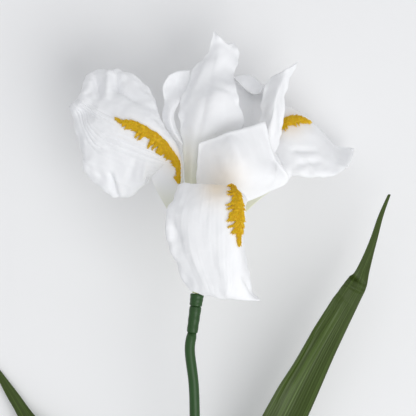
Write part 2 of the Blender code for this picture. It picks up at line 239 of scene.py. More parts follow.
@dataclass(frozen=True)
class MouldedPlastic:
    """Injection-moulded or extruded polyethylene: glossy, with faint flow streaks and dimples."""

    name: str
    colour: str
    dark: str
    roughness: float
    coat: float = 0.0
    streaks: float = 900.0  # per metre: flow lines about 1.1 mm apart, drawn out along the stem
    streak_depth: float = 0.15  # mm

    def build(self) -> bpy.types.Material:
        """Builds the material, streaked along the stem in object space.

        Returns:
            The material.
        """
        made, tree, shader = blank_material(self.name)
        place = add_node(tree, "ShaderNodeTexCoord")
        stretch = add_node(
            tree, "ShaderNodeMapping", {"Vector": place.outputs["Object"], "Scale": (1.0, 0.12, 1.0)}
        )
        streak = add_node(
            tree, "ShaderNodeTexNoise",
            {"Vector": stretch.outputs["Vector"], "Scale": self.streaks, "Detail": 3.0},
        )
        mixed = add_node(
            tree, "ShaderNodeMix", {0: streak.outputs["Fac"], 6: linear(self.colour), 7: linear(self.dark)},
            data_type="RGBA",
        )
        bump = add_node(
            tree, "ShaderNodeBump",
            {"Height": streak.outputs["Fac"], "Strength": 0.25, "Distance": self.streak_depth * MM},
        )
        tree.links.new(mixed.outputs[2], shader.inputs["Base Color"])
        tree.links.new(bump.outputs["Normal"], shader.inputs["Normal"])
        shader.inputs["Roughness"].default_value = self.roughness
        shader.inputs["Coat Weight"].default_value = self.coat
        shader.inputs["Specular IOR Level"].default_value = 0.3
        return made


@dataclass(frozen=True)
class DrawnSteel:
    """Drawn steel wire: grey, with fine lines left by the die."""

    colour: str = "8C8C8E"
    dark: str = "6E6E70"
    die_lines: float = 3000.0  # per metre: lines a third of a millimetre apart, drawn out along the wire

    def build(self) -> bpy.types.Material:
        """Builds the material, lined along the wire.

        Returns:
            The material.
        """
        made, tree, shader = blank_material("Drawn steel wire")
        place = add_node(tree, "ShaderNodeTexCoord")
        stretch = add_node(
            tree, "ShaderNodeMapping", {"Vector": place.outputs["Object"], "Scale": (1.0, 0.02, 1.0)}
        )
        lines = add_node(
            tree, "ShaderNodeTexNoise", {"Vector": stretch.outputs["Vector"], "Scale": self.die_lines}
        )
        mixed = add_node(
            tree, "ShaderNodeMix", {0: lines.outputs["Fac"], 6: linear(self.colour), 7: linear(self.dark)},
            data_type="RGBA",
        )
        tree.links.new(mixed.outputs[2], shader.inputs["Base Color"])
        shader.inputs["Metallic"].default_value = 1.0
        shader.inputs["Roughness"].default_value = 0.35
        return made


@dataclass(frozen=True)
class LeafFabric:
    """Green fabric pressed with parallel veins and coated in latex: olive, with a satin sheen."""

    colour: str = "3F5118"
    light: str = "66803C"
    dark: str = "334113"
    roughness: float = 0.45
    vein_count: float = 26.0  # coarse veins across a leaf
    vein_breaks: float = 3.5
    vein_depth: float = 0.4  # mm
    patches: float = 45.0  # per metre: the green varies over about 22 mm

    def build(self) -> bpy.types.Material:
        """Builds the material, whose veins follow the leaf's own map.

        Returns:
            The material.
        """
        made, tree, shader = blank_material("Coated green leaf fabric")
        uv = add_node(tree, "ShaderNodeUVMap", uv_map="petal")
        place = add_node(tree, "ShaderNodeTexCoord")
        stretch = add_node(
            tree, "ShaderNodeMapping",
            {"Vector": uv.outputs["UV"], "Scale": (self.vein_count, self.vein_breaks, 1)},
        )
        veins = add_node(
            tree, "ShaderNodeTexNoise", {"Vector": stretch.outputs["Vector"], "Scale": 1.0, "Detail": 4.0}
        )
        cloud = add_node(
            tree, "ShaderNodeTexNoise",
            {"Vector": place.outputs["Object"], "Scale": self.patches, "Detail": 3.0},
        )
        clouded = add_node(
            tree, "ShaderNodeMix", {0: cloud.outputs["Fac"], 6: linear(self.colour), 7: linear(self.dark)},
            data_type="RGBA",
        )
        reach = add_node(
            tree, "ShaderNodeMapRange", {"Value": veins.outputs["Fac"], 1: 0.5, 2: 0.75, 3: 0.0, 4: 0.6}
        )
        veined = add_node(
            tree, "ShaderNodeMix", {0: reach.outputs[0], 6: clouded.outputs[2], 7: linear(self.light)},
            data_type="RGBA",
        )
        tree.links.new(veined.outputs[2], shader.inputs["Base Color"])
        bump = add_node(
            tree, "ShaderNodeBump",
            {"Height": veins.outputs["Fac"], "Strength": 0.3, "Distance": self.vein_depth * MM},
        )
        tree.links.new(bump.outputs["Normal"], shader.inputs["Normal"])
        shader.inputs["Roughness"].default_value = self.roughness
        shader.inputs["Specular IOR Level"].default_value = 0.35
        return made


# ------------------------------------------------------------------ curves, sheets and meshes


def spline(points: np.ndarray, at: np.ndarray) -> np.ndarray:
    """A Catmull-Rom curve through points.

    Args:
        points: One row for each point.
        at: Places along the curve, which count points from 0.

    Returns:
        One row for each place.
    """
    points = np.asarray(points, float)
    padded = np.concatenate([[2 * points[0] - points[1]], points, [2 * points[-1] - points[-2]]])
    first = np.clip(np.floor(at).astype(int), 0, len(points) - 2)
    t = (at - first).reshape((-1,) + (1,) * (points.ndim - 1))
    p0, p1, p2, p3 = (padded[first + i] for i in range(4))
    bow = 2 * p0 - 5 * p1 + 4 * p2 - p3
    twist = 3 * p1 - p0 - 3 * p2 + p3
    return 0.5 * (2 * p1 + (p2 - p0) * t + bow * t**2 + twist * t**3)


def sheet(ribs: np.ndarray, u: np.ndarray, v: np.ndarray) -> np.ndarray:
    """The points of the sheet lofted over its ribs, as [across, along, xyz]."""
    ribs = np.asarray(ribs, float)
    lines = np.stack([spline(rib, v * (len(rib) - 1)) for rib in ribs])
    return spline(lines, u * (len(ribs) - 1))


def sheet_normals(points: np.ndarray) -> np.ndarray:
    """Unit normals of a sheet, on the side that faces the axis at the claw.

    Args:
        points: The sheet's grid, as [across, along, xyz].

    Returns:
        One unit vector for each point.
    """
    across = np.gradient(points, axis=0)
    up = np.gradient(points, axis=1)
    normals = np.cross(across, up)
    return normals / np.maximum(np.linalg.norm(normals, axis=2, keepdims=True), 1e-9)


def along(route: Sequence[np.ndarray], step: float) -> np.ndarray:
    """Points about one step apart on the smooth curve through a route.

    Args:
        route: The points that the curve goes through.
        step: The spacing, in millimetres.

    Returns:
        One row for each point.
    """
    fine = spline(np.array(route), np.linspace(0, len(route) - 1, 60 * len(route)))
    lengths = np.concatenate([[0], np.cumsum(np.linalg.norm(np.diff(fine, axis=0), axis=1))])
    wanted = np.linspace(0, lengths[-1], max(2, round(lengths[-1] / step)))
    return np.stack([np.interp(wanted, lengths, axis) for axis in fine.T], axis=1)


def smooth_step(value: np.ndarray, low: float, high: float) -> np.ndarray:
    """0 below low and 1 above high, with a smooth rise between them."""
    t = np.clip((value - low) / (high - low), 0, 1)
    return t * t * (3 - 2 * t)


def sheet_mesh(name: str, points: np.ndarray, attributes: dict[str, np.ndarray]) -> bpy.types.Mesh:
    """A mesh of quads over a grid of points in the flower's frame.

    Args:
        name: The mesh's name.
        points: The grid, as [across, along, xyz] in millimetres.
        attributes: Floats for each point of the grid, by name.

    Returns:
        The mesh in the row's frame, with a map named petal.
    """
    wide, long = points.shape[:2]
    index = np.arange(wide * long).reshape(wide, long)
    corners = np.stack([index[:-1, :-1], index[1:, :-1], index[1:, 1:], index[:-1, 1:]], axis=-1)
    corners = corners.reshape(-1, 4)
    mesh = bpy.data.meshes.new(name)
    mesh.from_pydata(((points.reshape(-1, 3) + ORIGIN) * MM).tolist(), [], corners.tolist())
    layer = mesh.uv_layers.new(name="petal")
    u, v = np.meshgrid(np.linspace(0, 1, wide), np.linspace(0, 1, long), indexing="ij")
    flat = np.stack([u.reshape(-1), v.reshape(-1)], axis=1)[corners.reshape(-1)]
    layer.data.foreach_set("uv", flat.astype(np.float32).reshape(-1))
    for key, values in attributes.items():
        made = mesh.attributes.new(key, "FLOAT", "POINT")
        made.data.foreach_set("value", values.astype(np.float32).reshape(-1))
    mesh.shade_smooth()
    return mesh


def add_piece(mesh: bpy.types.Mesh, finish: bpy.types.Material, slot: str, *nodes: str) -> bpy.types.Object:
    """Adds a piece that stands for CAD nodes and rides on the one body.

    Args:
        mesh: Its mesh, in the row's frame.
        finish: Its material.
        slot: The record's material slot. It is not used.
        nodes: The CAD nodes that it replaces.

    Returns:
        The new object.
    """
    piece = bpy.data.objects.new(mesh.name, mesh)
    bpy.context.scene.collection.objects.link(piece)
    mesh.materials.append(finish)
    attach(piece, "root")
    for node in nodes:
        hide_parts(node)
    log.info("%s: %d faces, for %s", piece.name, len(mesh.polygons), ", ".join(nodes) or "nothing in the CAD")
    return piece


def thicken(piece: bpy.types.Object, thickness: float) -> None:
    """Gives a sheet its wall, half on each side.

    Args:
        piece: The sheet.
        thickness: The wall, in millimetres.
    """
    solid = piece.modifiers.new("Wall", "SOLIDIFY")
    solid.thickness = thickness * MM
    solid.offset = 0


def wander(points: np.ndarray, size: float, seed: float) -> np.ndarray:
    """Smooth noise from -1 to 1 at each point of a grid, with features of a size in millimetres."""
    flat = points.reshape(-1, 3) / size + seed
    return np.array([noise.noise(Vector(p)) for p in flat]).reshape(points.shape[:2])


# ------------------------------------------------------------------ petals


class Seat(Enum):
    """Where a claw sits on the receptacle: distance up the axis, radius and half width at each station."""

    OUTER = ((0.5, 3.05, 1.0), (8.0, 3.05, 1.1), (18.0, 5.2, 2.0))
    INNER = ((9.8, 1.95, 0.7), (15.5, 2.0, 0.8), (21.0, 2.9, 1.2))


@dataclass(frozen=True)
class Fold:
    """A soft ridge or, with a negative height, a valley pressed into a petal along a line seen from above."""

    start: tuple[float, float]
    end: tuple[float, float]
    width: float
    height: float
    since: float = 0.35  # it is pressed only beyond this share of the petal's length

    def relief(self, points: np.ndarray, v: np.ndarray) -> np.ndarray:
        """The height that the fold adds.

        Args:
            points: The petal's grid, in the flower's frame.
            v: How far along the petal each point is, from 0 to 1.

        Returns:
            The height at each point, in millimetres.
        """
        a = np.array(self.start)
        run = np.array(self.end) - a
        t = np.clip(((points[..., :2] - a) @ run) / (run @ run), 0, 1)
        away = np.linalg.norm(points[..., :2] - (a + t[..., None] * run), axis=2)
        fade = 0.35 + 0.65 * np.sin(np.pi * np.clip(t, 0.02, 0.98)) ** 0.7
        reach = smooth_step(v, self.since - 0.03, self.since + 0.03)
        return self.height * fade * np.exp(-((away / self.width) ** 2)) * reach


@dataclass(frozen=True)
class Ripples:
    """Fine pressed ripples that run along a petal, over a window of its width and length."""

    count: float
    height: float
    across: tuple[float, float]
    along: tuple[float, float]

    def relief(self, u: np.ndarray, v: np.ndarray) -> np.ndarray:
        """The height that the ripples add.

        Args:
            u: How far across the petal each point is, from 0 to 1.
            v: How far along it.

        Returns:
            The height at each point, in millimetres.
        """
        window = 1.0
        for place, (low, high), edge in ((u, self.across, 0.05), (v, self.along, 0.06)):
            window = window * smooth_step(place, low - edge, low + edge)
            window = window * (1 - smooth_step(place, high - edge, high + edge))
        phase = 2 * np.pi * self.count * u + 2.2 * np.sin(6 * v + 9 * u) + 1.3 * np.sin(17 * v + 5 * u)
        swell = 0.55 + 0.45 * np.sin(11 * v + 23 * u)
        return self.height * window * swell * np.sin(phase)


# The size of each kind of unevenness in a petal, in millimetres.
CRUMPLE_SIZE = 7.0
FINE_CRUMPLE_SIZE = 2.6
CURL_SIZE = 9.0
RUFFLE_SIZE = 4.5
NOTCH_SIZE = 3.6


@dataclass
class Petal:
    """One petal: a thin sheet lofted from its seat over ribs, with its folds, ripples and curled rims."""

    node: str
    azimuth: float
    seat: Seat
    blade: tuple[tuple[Point, ...], ...]
    folds: tuple[Fold, ...] = ()
    ripples: tuple[Ripples, ...] = ()
    curl: float = 1.0  # how far the rims turn back, mm
    curl_width: float = 3.0
    crumple: float = 0.32
    ruffle: float = 0.8  # how far the rims wave, mm
    throat_reach: float = 0.3  # share of the length tinted green-yellow
    glow: tuple[float, float, float, float] | None = None  # x, y, radius and strength of a golden stain
    columns: int = 72
    rows: int = 110
    thickness: float = 0.45

    @property
    def ribs(self) -> np.ndarray:
        """The ribs from the seat to the blade's end.

        Returns:
            The ribs as [rib, station, xyz], in millimetres.
        """
        angle = math.radians(self.azimuth)
        ribs = []
        for share, rib in zip(np.linspace(-1, 1, len(self.blade)), self.blade):
            start = []
            for distance, radius, half_width in self.seat.value:
                turned = angle + share * half_width / radius
                start.append(distance * AXIS + radius * (math.cos(turned) * ACROSS + math.sin(turned) * OUT))
            ribs.append(start + [np.array(p, float) for p in rib])
        return np.array(ribs)

    def surface(self) -> tuple[np.ndarray, np.ndarray, np.ndarray]:
        """The petal with its folds, ripples and curled rims.

        Returns:
            Its grid of points, and u and v at each.
        """
        u, v = np.linspace(0, 1, self.columns), np.linspace(0, 1, self.rows)
        points = sheet(self.ribs, u, v)
        normals = sheet_normals(points)
        uu, vv = np.meshgrid(u, v, indexing="ij")
        relief = self.crumple * wander(points, CRUMPLE_SIZE, self.azimuth) * smooth_step(vv, 0.25, 0.5)
        fine = wander(points, FINE_CRUMPLE_SIZE, self.azimuth + 9)
        relief += 0.35 * self.crumple * fine * smooth_step(vv, 0.3, 0.55)
        for fold in self.folds:
            relief += fold.relief(points, vv)
        for ripple in self.ripples:
            relief += ripple.relief(uu, vv)
        widths = np.linalg.norm(np.diff(points, axis=0), axis=2)
        run = np.concatenate([np.zeros((1, self.rows)), np.cumsum(widths, axis=0)])
        from_rim = np.minimum(run, run[-1] - run)
        lengths = np.linalg.norm(np.diff(points, axis=1), axis=2)
        travelled = np.concatenate([np.zeros((self.columns, 1)), np.cumsum(lengths, axis=1)], axis=1)
        from_end = travelled[:, -1:] - travelled
        rim = np.minimum(from_rim, from_end)
        bend = np.clip(1 - rim / self.curl_width, 0, 1) ** 2 * smooth_step(vv, 0.3, 0.5)
        relief -= self.curl * bend * (0.7 + 0.5 * wander(points, CURL_SIZE, self.azimuth + 3))
        wave = np.exp(-rim / (1.6 * self.curl_width)) * smooth_step(vv, 0.35, 0.55)
        relief += self.ruffle * wave * 1.8 * wander(points, RUFFLE_SIZE, self.azimuth + 5)
        inward = (points[self.columns // 2] - points) / np.maximum(run[-1], 1e-6)[None, :, None]
        notch = 0.9 * self.ruffle * wave * wander(points, NOTCH_SIZE, self.azimuth + 7)
        return points + normals * relief[..., None] + inward * notch[..., None] * 2, uu, vv

    def build(self, finish: bpy.types.Material) -> bpy.types.Object:
        """Adds the petal in place of its CAD node.

        Args:
            finish: Its material.

        Returns:
            The new object.
        """
        points, _, v = self.surface()
        throat = 0.75 * (1 - smooth_step(v, self.throat_reach * 0.4, self.throat_reach))
        gold = np.zeros_like(v)
        if self.glow:
            x, y, radius, strength = self.glow
            away = np.hypot(points[..., 0] - x, points[..., 1] - y)
            gold = strength * np.exp(-((away / radius) ** 2))
        mesh = sheet_mesh(self.node + "_fabric", points, {"throat": throat, "gold": gold})
        petal = add_piece(mesh, finish, "petal_fabric", self.node)
        thicken(petal, self.thickness)
        return petal


@dataclass
class Beard:
    """A strip of golden bristles down a fall: a moulded pad and the bristles combed out from its middle."""

    node: str
    fall: Petal
    first: float
    last: float
    middle: float
    half_widths: tuple[float, ...]
    # On the side of lower azimuth, then on that of higher azimuth: how far the bristles lean out, and how
    # far the tufts stand out, as a share of the half width.
    comb: tuple[float, float] = (1.0, 1.0)
    teeth: tuple[float, float] = (0.6, 0.2)
    tufts: int = 8
    density: float = 8.0  # bristles per square millimetre
    bristle_length: float = 1.1
    bristle_radius: float = 0.12
    columns: int = 25
    rows: int = 220
    seed: int = 5
    wall: float = 0.6
    lift: float = 0.75  # from the fall's middle to the pad's margin, mm
    crown: float = 0.5  # how much higher the pad's middle is, mm
    splay: float = 1.3  # how far the bristles turn to the sides
    rise: float = 0.28  # how far they stand up

    def pad(self) -> tuple[np.ndarray, np.ndarray]:
        """The pad and the lie of its bristles.

        Returns:
            The pad's middle grid, and the direction that a bristle takes at each of its points.
        """
        fall, _, _ = self.fall.surface()
        normals = sheet_normals(fall)
        stations = len(self.fall.ribs[0]) - 1
        wide, long = fall.shape[:2]
        at = (self.first + np.linspace(0, 1, self.rows) * (self.last - self.first)) / stations * (long - 1)
        places = np.linspace(0, len(self.half_widths) - 1, self.rows)
        half = spline(np.array(self.half_widths)[:, None], places)[:, 0]
        middle = self.middle * (wide - 1)
        low = np.clip(at.astype(int), 0, long - 2)
        share = (at - low)[:, None, None]
        rows = np.transpose(fall, (1, 0, 2))
        faces = np.transpose(normals, (1, 0, 2))
        lines = rows[low] * (1 - share) + rows[low + 1] * share
        tops = faces[low] * (1 - share) + faces[low + 1] * share
        centre = int(round(middle))
        step = np.linalg.norm(lines[:, centre + 1] - lines[:, centre - 1], axis=1) / 2
        points, ups = np.zeros((self.columns, self.rows, 3)), np.zeros((self.columns, self.rows, 3))
        run = np.linspace(0, 1, self.rows)
        tuft = ((self.tufts * run + 0.35 * np.sin(self.tufts * 2.7 * run)) % 1.0) ** 1.6
        for i, side in enumerate(np.linspace(-1, 1, self.columns)):
            reach = self.teeth[0] if side < 0 else self.teeth[1]
            spread = 1 - reach * 0.6 + reach * 1.4 * tuft
            place = np.clip(middle + side * half * spread / step, 0.5, wide - 1.5)
            lower = place.astype(int)
            part = (place - lower)[:, None]
            pick = np.arange(self.rows)
            points[i] = lines[pick, lower] * (1 - part) + lines[pick, lower + 1] * part
            ups[i] = tops[pick, lower] * (1 - part) + tops[pick, lower + 1] * part
        bulge = 1 - np.linspace(-1, 1, self.columns)[:, None, None] ** 2
        points = points + ups * (self.lift + self.crown * bulge)
        sideways = np.gradient(points, axis=0)
        sideways /= np.maximum(np.linalg.norm(sideways, axis=2, keepdims=True), 1e-9)
        onward = np.gradient(points, axis=1)
        onward /= np.maximum(np.linalg.norm(onward, axis=2, keepdims=True), 1e-9)
        lean = np.linspace(-1, 1, self.columns)[:, None, None]
        lean = np.where(lean < 0, lean * self.comb[0], lean * self.comb[1])
        return points, onward + sideways * lean * self.splay + ups * self.rise

    def build(self, finish: bpy.types.Material) -> bpy.types.Object:
        """Adds the pad and its bristles in place of its CAD node.

        Args:
            finish: Its material.

        Returns:
            The new object.
        """
        points, combed = self.pad()
        mesh = sheet_mesh(self.node + "_pad", points, {})
        direction = mesh.attributes.new("combed", "FLOAT_VECTOR", "POINT")
        direction.data.foreach_set("vector", combed.astype(np.float32).reshape(-1))
        source = bpy.data.objects.new(mesh.name, mesh)
        bpy.context.scene.collection.objects.link(source)
        solid = source.modifiers.new("Wall", "SOLIDIFY")
        solid.thickness = self.wall * MM
        solid.offset = 0
        grow = source.modifiers.new("Bristles", "NODES")
        grow.node_group = bristle_tree()
        for item in grow.node_group.interface.items_tree:
            value = {
                "Density": self.density / MM**2,
                "Length": self.bristle_length * MM,
                "Radius": self.bristle_radius * MM,
                "Seed": self.seed,
                "Finish": finish,
            }.get(item.name)
            if value is not None:
                grow[item.identifier] = value
        graph = bpy.context.evaluated_depsgraph_get()
        bpy.context.view_layer.update()
        made = bpy.data.meshes.new_from_object(source.evaluated_get(graph))
        made.name = self.node + "_bristles"
        made.materials.clear()
        bpy.data.objects.remove(source)
        return add_piece(made, finish, "beard", self.node)


BRISTLE_SIDES = 6
BRISTLE_SEGMENTS = 2
BRISTLE_TIP = 0.04  # radius at the tip, mm
BRISTLE_STRAY = (0.22, 0.22, 0.12)  # how far a bristle strays from the lie of its neighbours
BRISTLE_SIZES = (0.7, 1.15)  # the shortest and the longest, as shares of the full length


def bristle_tree() -> bpy.types.NodeTree:
    """The Geometry Nodes tree that grows tapered bristles over a pad, along its combed attribute.

    Returns:
        The tree, made the first time and found again after that.
    """
    if "Bristles" in bpy.data.node_groups:
        return bpy.data.node_groups["Bristles"]
    tree = bpy.data.node_groups.new("Bristles", "GeometryNodeTree")
    face = tree.interface
    face.new_socket("Geometry", in_out="INPUT", socket_type="NodeSocketGeometry")
    for name, kind in (
        ("Density", "NodeSocketFloat"), ("Length", "NodeSocketFloat"), ("Radius", "NodeSocketFloat"),
        ("Seed", "NodeSocketInt"), ("Finish", "NodeSocketMaterial"),
    ):
        face.new_socket(name, in_out="INPUT", socket_type=kind)
    face.new_socket("Geometry", in_out="OUTPUT", socket_type="NodeSocketGeometry")
    given = add_node(tree, "NodeGroupInput").outputs
    spread = add_node(
        tree, "GeometryNodeDistributePointsOnFaces",
        {"Mesh": given["Geometry"], "Density": given["Density"], "Seed": given["Seed"]},
    )
    combed = add_node(tree, "GeometryNodeInputNamedAttribute", {"Name": "combed"}, data_type="FLOAT_VECTOR")
    jitter = add_node(
        tree, "FunctionNodeRandomValue",
        {0: tuple(-stray for stray in BRISTLE_STRAY), 1: BRISTLE_STRAY, "Seed": given["Seed"]},
        data_type="FLOAT_VECTOR",
    )
    leaning = add_node(
        tree, "ShaderNodeVectorMath", {0: combed.outputs[0], 1: jitter.outputs[0]}, operation="ADD"
    )
    turned = add_node(
        tree, "FunctionNodeAlignRotationToVector", {"Vector": leaning.outputs[0]}, axis="Z"
    )
    size = add_node(
        tree, "FunctionNodeRandomValue",
        {2: BRISTLE_SIZES[0], 3: BRISTLE_SIZES[1], "Seed": given["Seed"]}, data_type="FLOAT",
    )
    cone = add_node(
        tree, "GeometryNodeMeshCone",
        {"Vertices": BRISTLE_SIDES, "Side Segments": BRISTLE_SEGMENTS, "Radius Top": BRISTLE_TIP * MM,
         "Radius Bottom": given["Radius"], "Depth": given["Length"]},
    )
    planted = add_node(
        tree, "GeometryNodeInstanceOnPoints",
        {"Points": spread.outputs["Points"], "Instance": cone.outputs["Mesh"], "Rotation": turned.outputs[0],
         "Scale": size.outputs[1]},
    )
    joined = add_node(tree, "GeometryNodeJoinGeometry", {0: planted.outputs[0]})
    tree.links.new(given["Geometry"], joined.inputs[0])
    real = add_node(tree, "GeometryNodeRealizeInstances", {0: joined.outputs[0]})
    smooth = add_node(tree, "GeometryNodeSetShadeSmooth", {0: real.outputs[0]})
    dressed = add_node(tree, "GeometryNodeSetMaterial", {0: smooth.outputs[0], "Material": given["Finish"]})
    add_node(tree, "NodeGroupOutput", {0: dressed.outputs[0]})
    return tree


FALL_LEFT = Petal(
    "fall_left", 195, Seat.OUTER,
    (
        ((-14, 38, 2), (-20, 49.5, 4), (-21.5, 56.5, 6), (-23.5, 48, 3), (-31, 42, 1), (-39.5, 43, 0),
         (-47.5, 49.5, -1), (-52.5, 56, -3), (-55, 66.5, -5), (-57.5, 77, -6), (-60.5, 83.5, -7)),
        ((-7.5, 38, 4.5), (-8, 49, 8), (-8.5, 57.5, 10), (-11.5, 63, 11.5), (-16.5, 68.5, 12.5),
         (-22.5, 73, 12), (-29.5, 76.5, 10), (-37, 79, 7), (-44, 81.5, 3), (-50, 85, -1),
         (-55.5, 88.5, -4)),
        ((-6, 38.5, 1.2), (-6.5, 50, 2), (-6.5, 58, 3), (-7.5, 64, 4.5), (-10.5, 69.5, 4.5), (-15, 78, 2),
         (-18.5, 88, -2), (-25.5, 96.5, -6), (-35.5, 101.5, -8), (-45, 101.5, -9), (-50.5, 99, -8)),
    ),
    folds=(
        Fold((-47, 99), (-44.5, 88), 1.6, -3.4),
        Fold((-37, 99), (-36, 90), 1.6, -3.2),
        Fold((-36, 92), (-26, 85), 1.5, -1.8),
        Fold((-40.5, 99), (-40.5, 88), 1.3, 2.4),
        Fold((-49.5, 87), (-45.5, 83), 0.8, -0.8),
        Fold((-58, 84), (-48, 79), 2.4, -3.4),
        Fold((-39, 53), (-36, 42), 1.0, -3.0),
        Fold((-36.5, 53), (-34, 42), 0.9, 1.0),
        Fold((-23, 58), (-24.5, 49), 0.9, 1.2),
        Fold((-54, 60), (-40, 56), 1.4, 1.0),
        Fold((-55.5, 79), (-53, 60), 2.0, -1.6),
        Fold((-31, 50), (-27, 60), 1.6, -1.0),
        Fold((-50, 66), (-30, 62), 1.1, -0.5),
    ),
    ripples=(Ripples(26, 0.34, (0.16, 0.5), (0.42, 0.98)), Ripples(16, 0.22, (0.0, 0.3), (0.4, 0.95))),
    curl=3.6, curl_width=4.5, crumple=0.5, ruffle=1.1, throat_reach=0.34, glow=(-9, 60, 6, 0.25),
    columns=180, rows=130,
)
FALL_FRONT = Petal(
    "fall_front", 75, Seat.OUTER,
    (
        ((12, 29.5, 12), (17, 37.5, 18), (19.5, 42, 23), (21, 43.5, 27), (22, 40, 28), (21, 31.5, 22),
         (20.5, 22.5, 20), (22.5, 13, 25), (25, 4, 30), (27.5, -2, 34)),
        ((7, 29, 14), (11, 38.5, 24), (13, 44.5, 31), (14.5, 47, 37), (17, 42.5, 42), (17.5, 34.5, 43.5),
         (17.5, 23, 43), (17.5, 13, 42), (17.5, 4.5, 40), (15, -2.5, 37)),
        ((3.5, 28.5, 13), (3, 38.5, 23), (2.5, 44.5, 30), (3, 48, 36), (2, 42.5, 41), (0.5, 32.5, 42),
         (1.5, 22.5, 41), (4, 12, 39), (6.5, 3.5, 37), (6.5, -1.5, 33)),
        ((0, 28, 11), (-5, 38, 18), (-7, 44, 23), (-8.5, 48.5, 29), (-11, 43, 32), (-14.5, 33.5, 33),
         (-13.5, 22.5, 31), (-10, 13.5, 29), (-6, 4.5, 27), (-2.5, 1, 25)),
    ),
    folds=(
        Fold((-13, 34), (-8, 22), 2.8, -2.6, 0.5),
        Fold((20, 8), (26, -1), 1.2, -1.4, 0.7),
        Fold((-4, 22), (4, 4), 2.0, 0.7, 0.5),
        Fold((10, 16), (14, 0), 1.8, 0.6, 0.6),
    ),
    ripples=(Ripples(14, 0.07, (0.1, 0.9), (0.55, 0.95)), Ripples(31, 0.05, (0.1, 0.9), (0.5, 0.98)),),
    curl=1.8, curl_width=3.5, crumple=0.4, throat_reach=0.45, glow=(9, 47, 7, 0.4), columns=110, rows=130,
)
FALL_RIGHT = Petal(
    "fall_right", 315, Seat.OUTER,
    (
        ((11, 33.5, -8), (18.5, 46, -14), (24, 59, -24), (30, 69.5, -34), (37.5, 77, -43), (48, 74.5, -49),
         (58.5, 65, -50.2), (66, 60.5, -46), (71, 61, -40)),
        ((13.5, 35, -7), (22, 47.5, -11), (28, 63.5, -17), (32.5, 77.5, -24), (38.5, 85.5, -29),
         (47.5, 81.5, -34), (56.5, 74.5, -38), (64.5, 66.5, -38), (72.5, 66, -37)),
        ((16, 35.5, -6), (26, 47, -9), (32, 62, -12), (36, 71.5, -15), (41, 77, -17), (49.5, 77.5, -22),
         (57, 71.5, -28), (64.5, 64.5, -33), (72.5, 65, -35)),
        ((21, 35, -5.5), (31, 44, -7), (38.5, 49, -8), (42.5, 52.5, -7), (48, 52.5, -6), (55.5, 52.5, -7),
         (62, 53.5, -11), (67.5, 56.5, -17), (70.5, 58.5, -24)),
    ),
    folds=(
        Fold((43, 64), (54, 64), 1.2, -1.2),
        Fold((46, 58), (56, 59), 1.2, -1.3),
        Fold((45, 63), (52, 56), 0.7, 0.9),
        Fold((58, 70), (62, 60), 1.5, 0.9),
    ),
    curl=1.8, curl_width=3.0, crumple=0.4, throat_reach=0.5, glow=(43, 76, 6, 0.3), columns=90, rows=110,
)
STANDARD_CENTRE = Petal(
    "standard_centre", 135, Seat.OUTER,
    (
        ((0, 37, 5), (0.5, 50.5, 6), (8, 63, 6), (20, 74.5, 4), (18, 86, 5), (17, 92.5, 3), (16, 97.5, -4),
         (19, 107, -9), (16, 113, -12)),
        ((-1, 37, 6.5), (-1, 50.5, 8), (2.5, 64.5, 9), (11, 76, 10), (10.5, 86, 10), (10, 92, 7),
         (10.5, 98.5, -2), (14, 106.5, -7), (13, 111.5, -10)),
        ((-3, 37, 7), (-3, 50.5, 8.5), (-2, 64.5, 9), (0, 76, 9), (2.5, 86, 8), (4.5, 91.5, 5),
         (5.5, 99.5, 0), (9, 108.5, -5), (10, 115, -8)),
        ((-5, 37, 5.2), (-5.3, 50, 5.5), (-6, 65.5, 4), (-7.5, 77.5, 0), (-7.5, 85.5, -3), (-4.5, 92, -5),
         (-2, 100.5, -7), (4.5, 108, -8), (7.5, 118, -9)),
    ),
    folds=(
        Fold((4.5, 104), (-4, 84), 1.5, -1.3),
        Fold((9.5, 115), (4.5, 90), 2.0, 0.9),
        Fold((4.5, 90), (-1.5, 64), 2.0, 0.8),
        Fold((5, 94), (15, 90), 1.6, 0.9),
    ),
    curl=0.9, curl_width=2.5, throat_reach=0.55, columns=90, rows=110,
)
STANDARD_RIGHT = Petal(
    "standard_right", 15, Seat.OUTER,
    (
        ((13, 37, -1), (26, 50.5, -1), (35, 63.5, -2), (37.5, 73, -5), (38.5, 85, -6), (40.5, 93.5, -7),
         (45, 104, -10)),
        ((11, 37, 3), (23.5, 50.5, 3), (31, 65, 1), (33, 75, 3), (34.5, 83.5, 4), (37, 92, 1),
         (39, 99.5, -5)),
        ((8.5, 37, 4), (19, 49.5, 3), (27, 64, 0), (29, 75.5, -4), (29.5, 84.5, -5), (30.5, 91, -5),
         (33.5, 97, -7)),
    ),
    folds=(Fold((42, 100), (31, 75), 1.2, 1.0), Fold((36, 92), (34, 70), 1.0, -0.6)),
    curl=0.7, curl_width=2.0, throat_reach=0.5, columns=70, rows=100,
)
STANDARD_BACK = Petal(
    "standard_back", 255, Seat.OUTER,
    (
        ((3, 37, -7), (3.5, 55, -9), (4.5, 73.5, -10), (5.5, 85, -14), (11, 94, -19), (15.5, 97.5, -20),
         (19, 94.5, -16)),
        ((6.5, 37, -8), (12.5, 55, -12), (17.5, 73.5, -16), (20.5, 85.5, -20), (22.5, 94.5, -24),
         (24, 98.5, -19), (24.5, 90, -13)),
        ((10, 37, -8), (22, 55, -14), (29.5, 73.5, -15), (31, 84.5, -16), (32, 89.5, -18),
         (30.5, 93.5, -13), (29, 89.5, -9)),
    ),
    folds=(Fold((18, 90), (22, 70), 1.6, -0.7), Fold((25, 88), (27, 74), 1.5, 0.7)),
    curl=0.6, curl_width=2.0, ruffle=0.4, throat_reach=0.45, columns=80, rows=90,
)
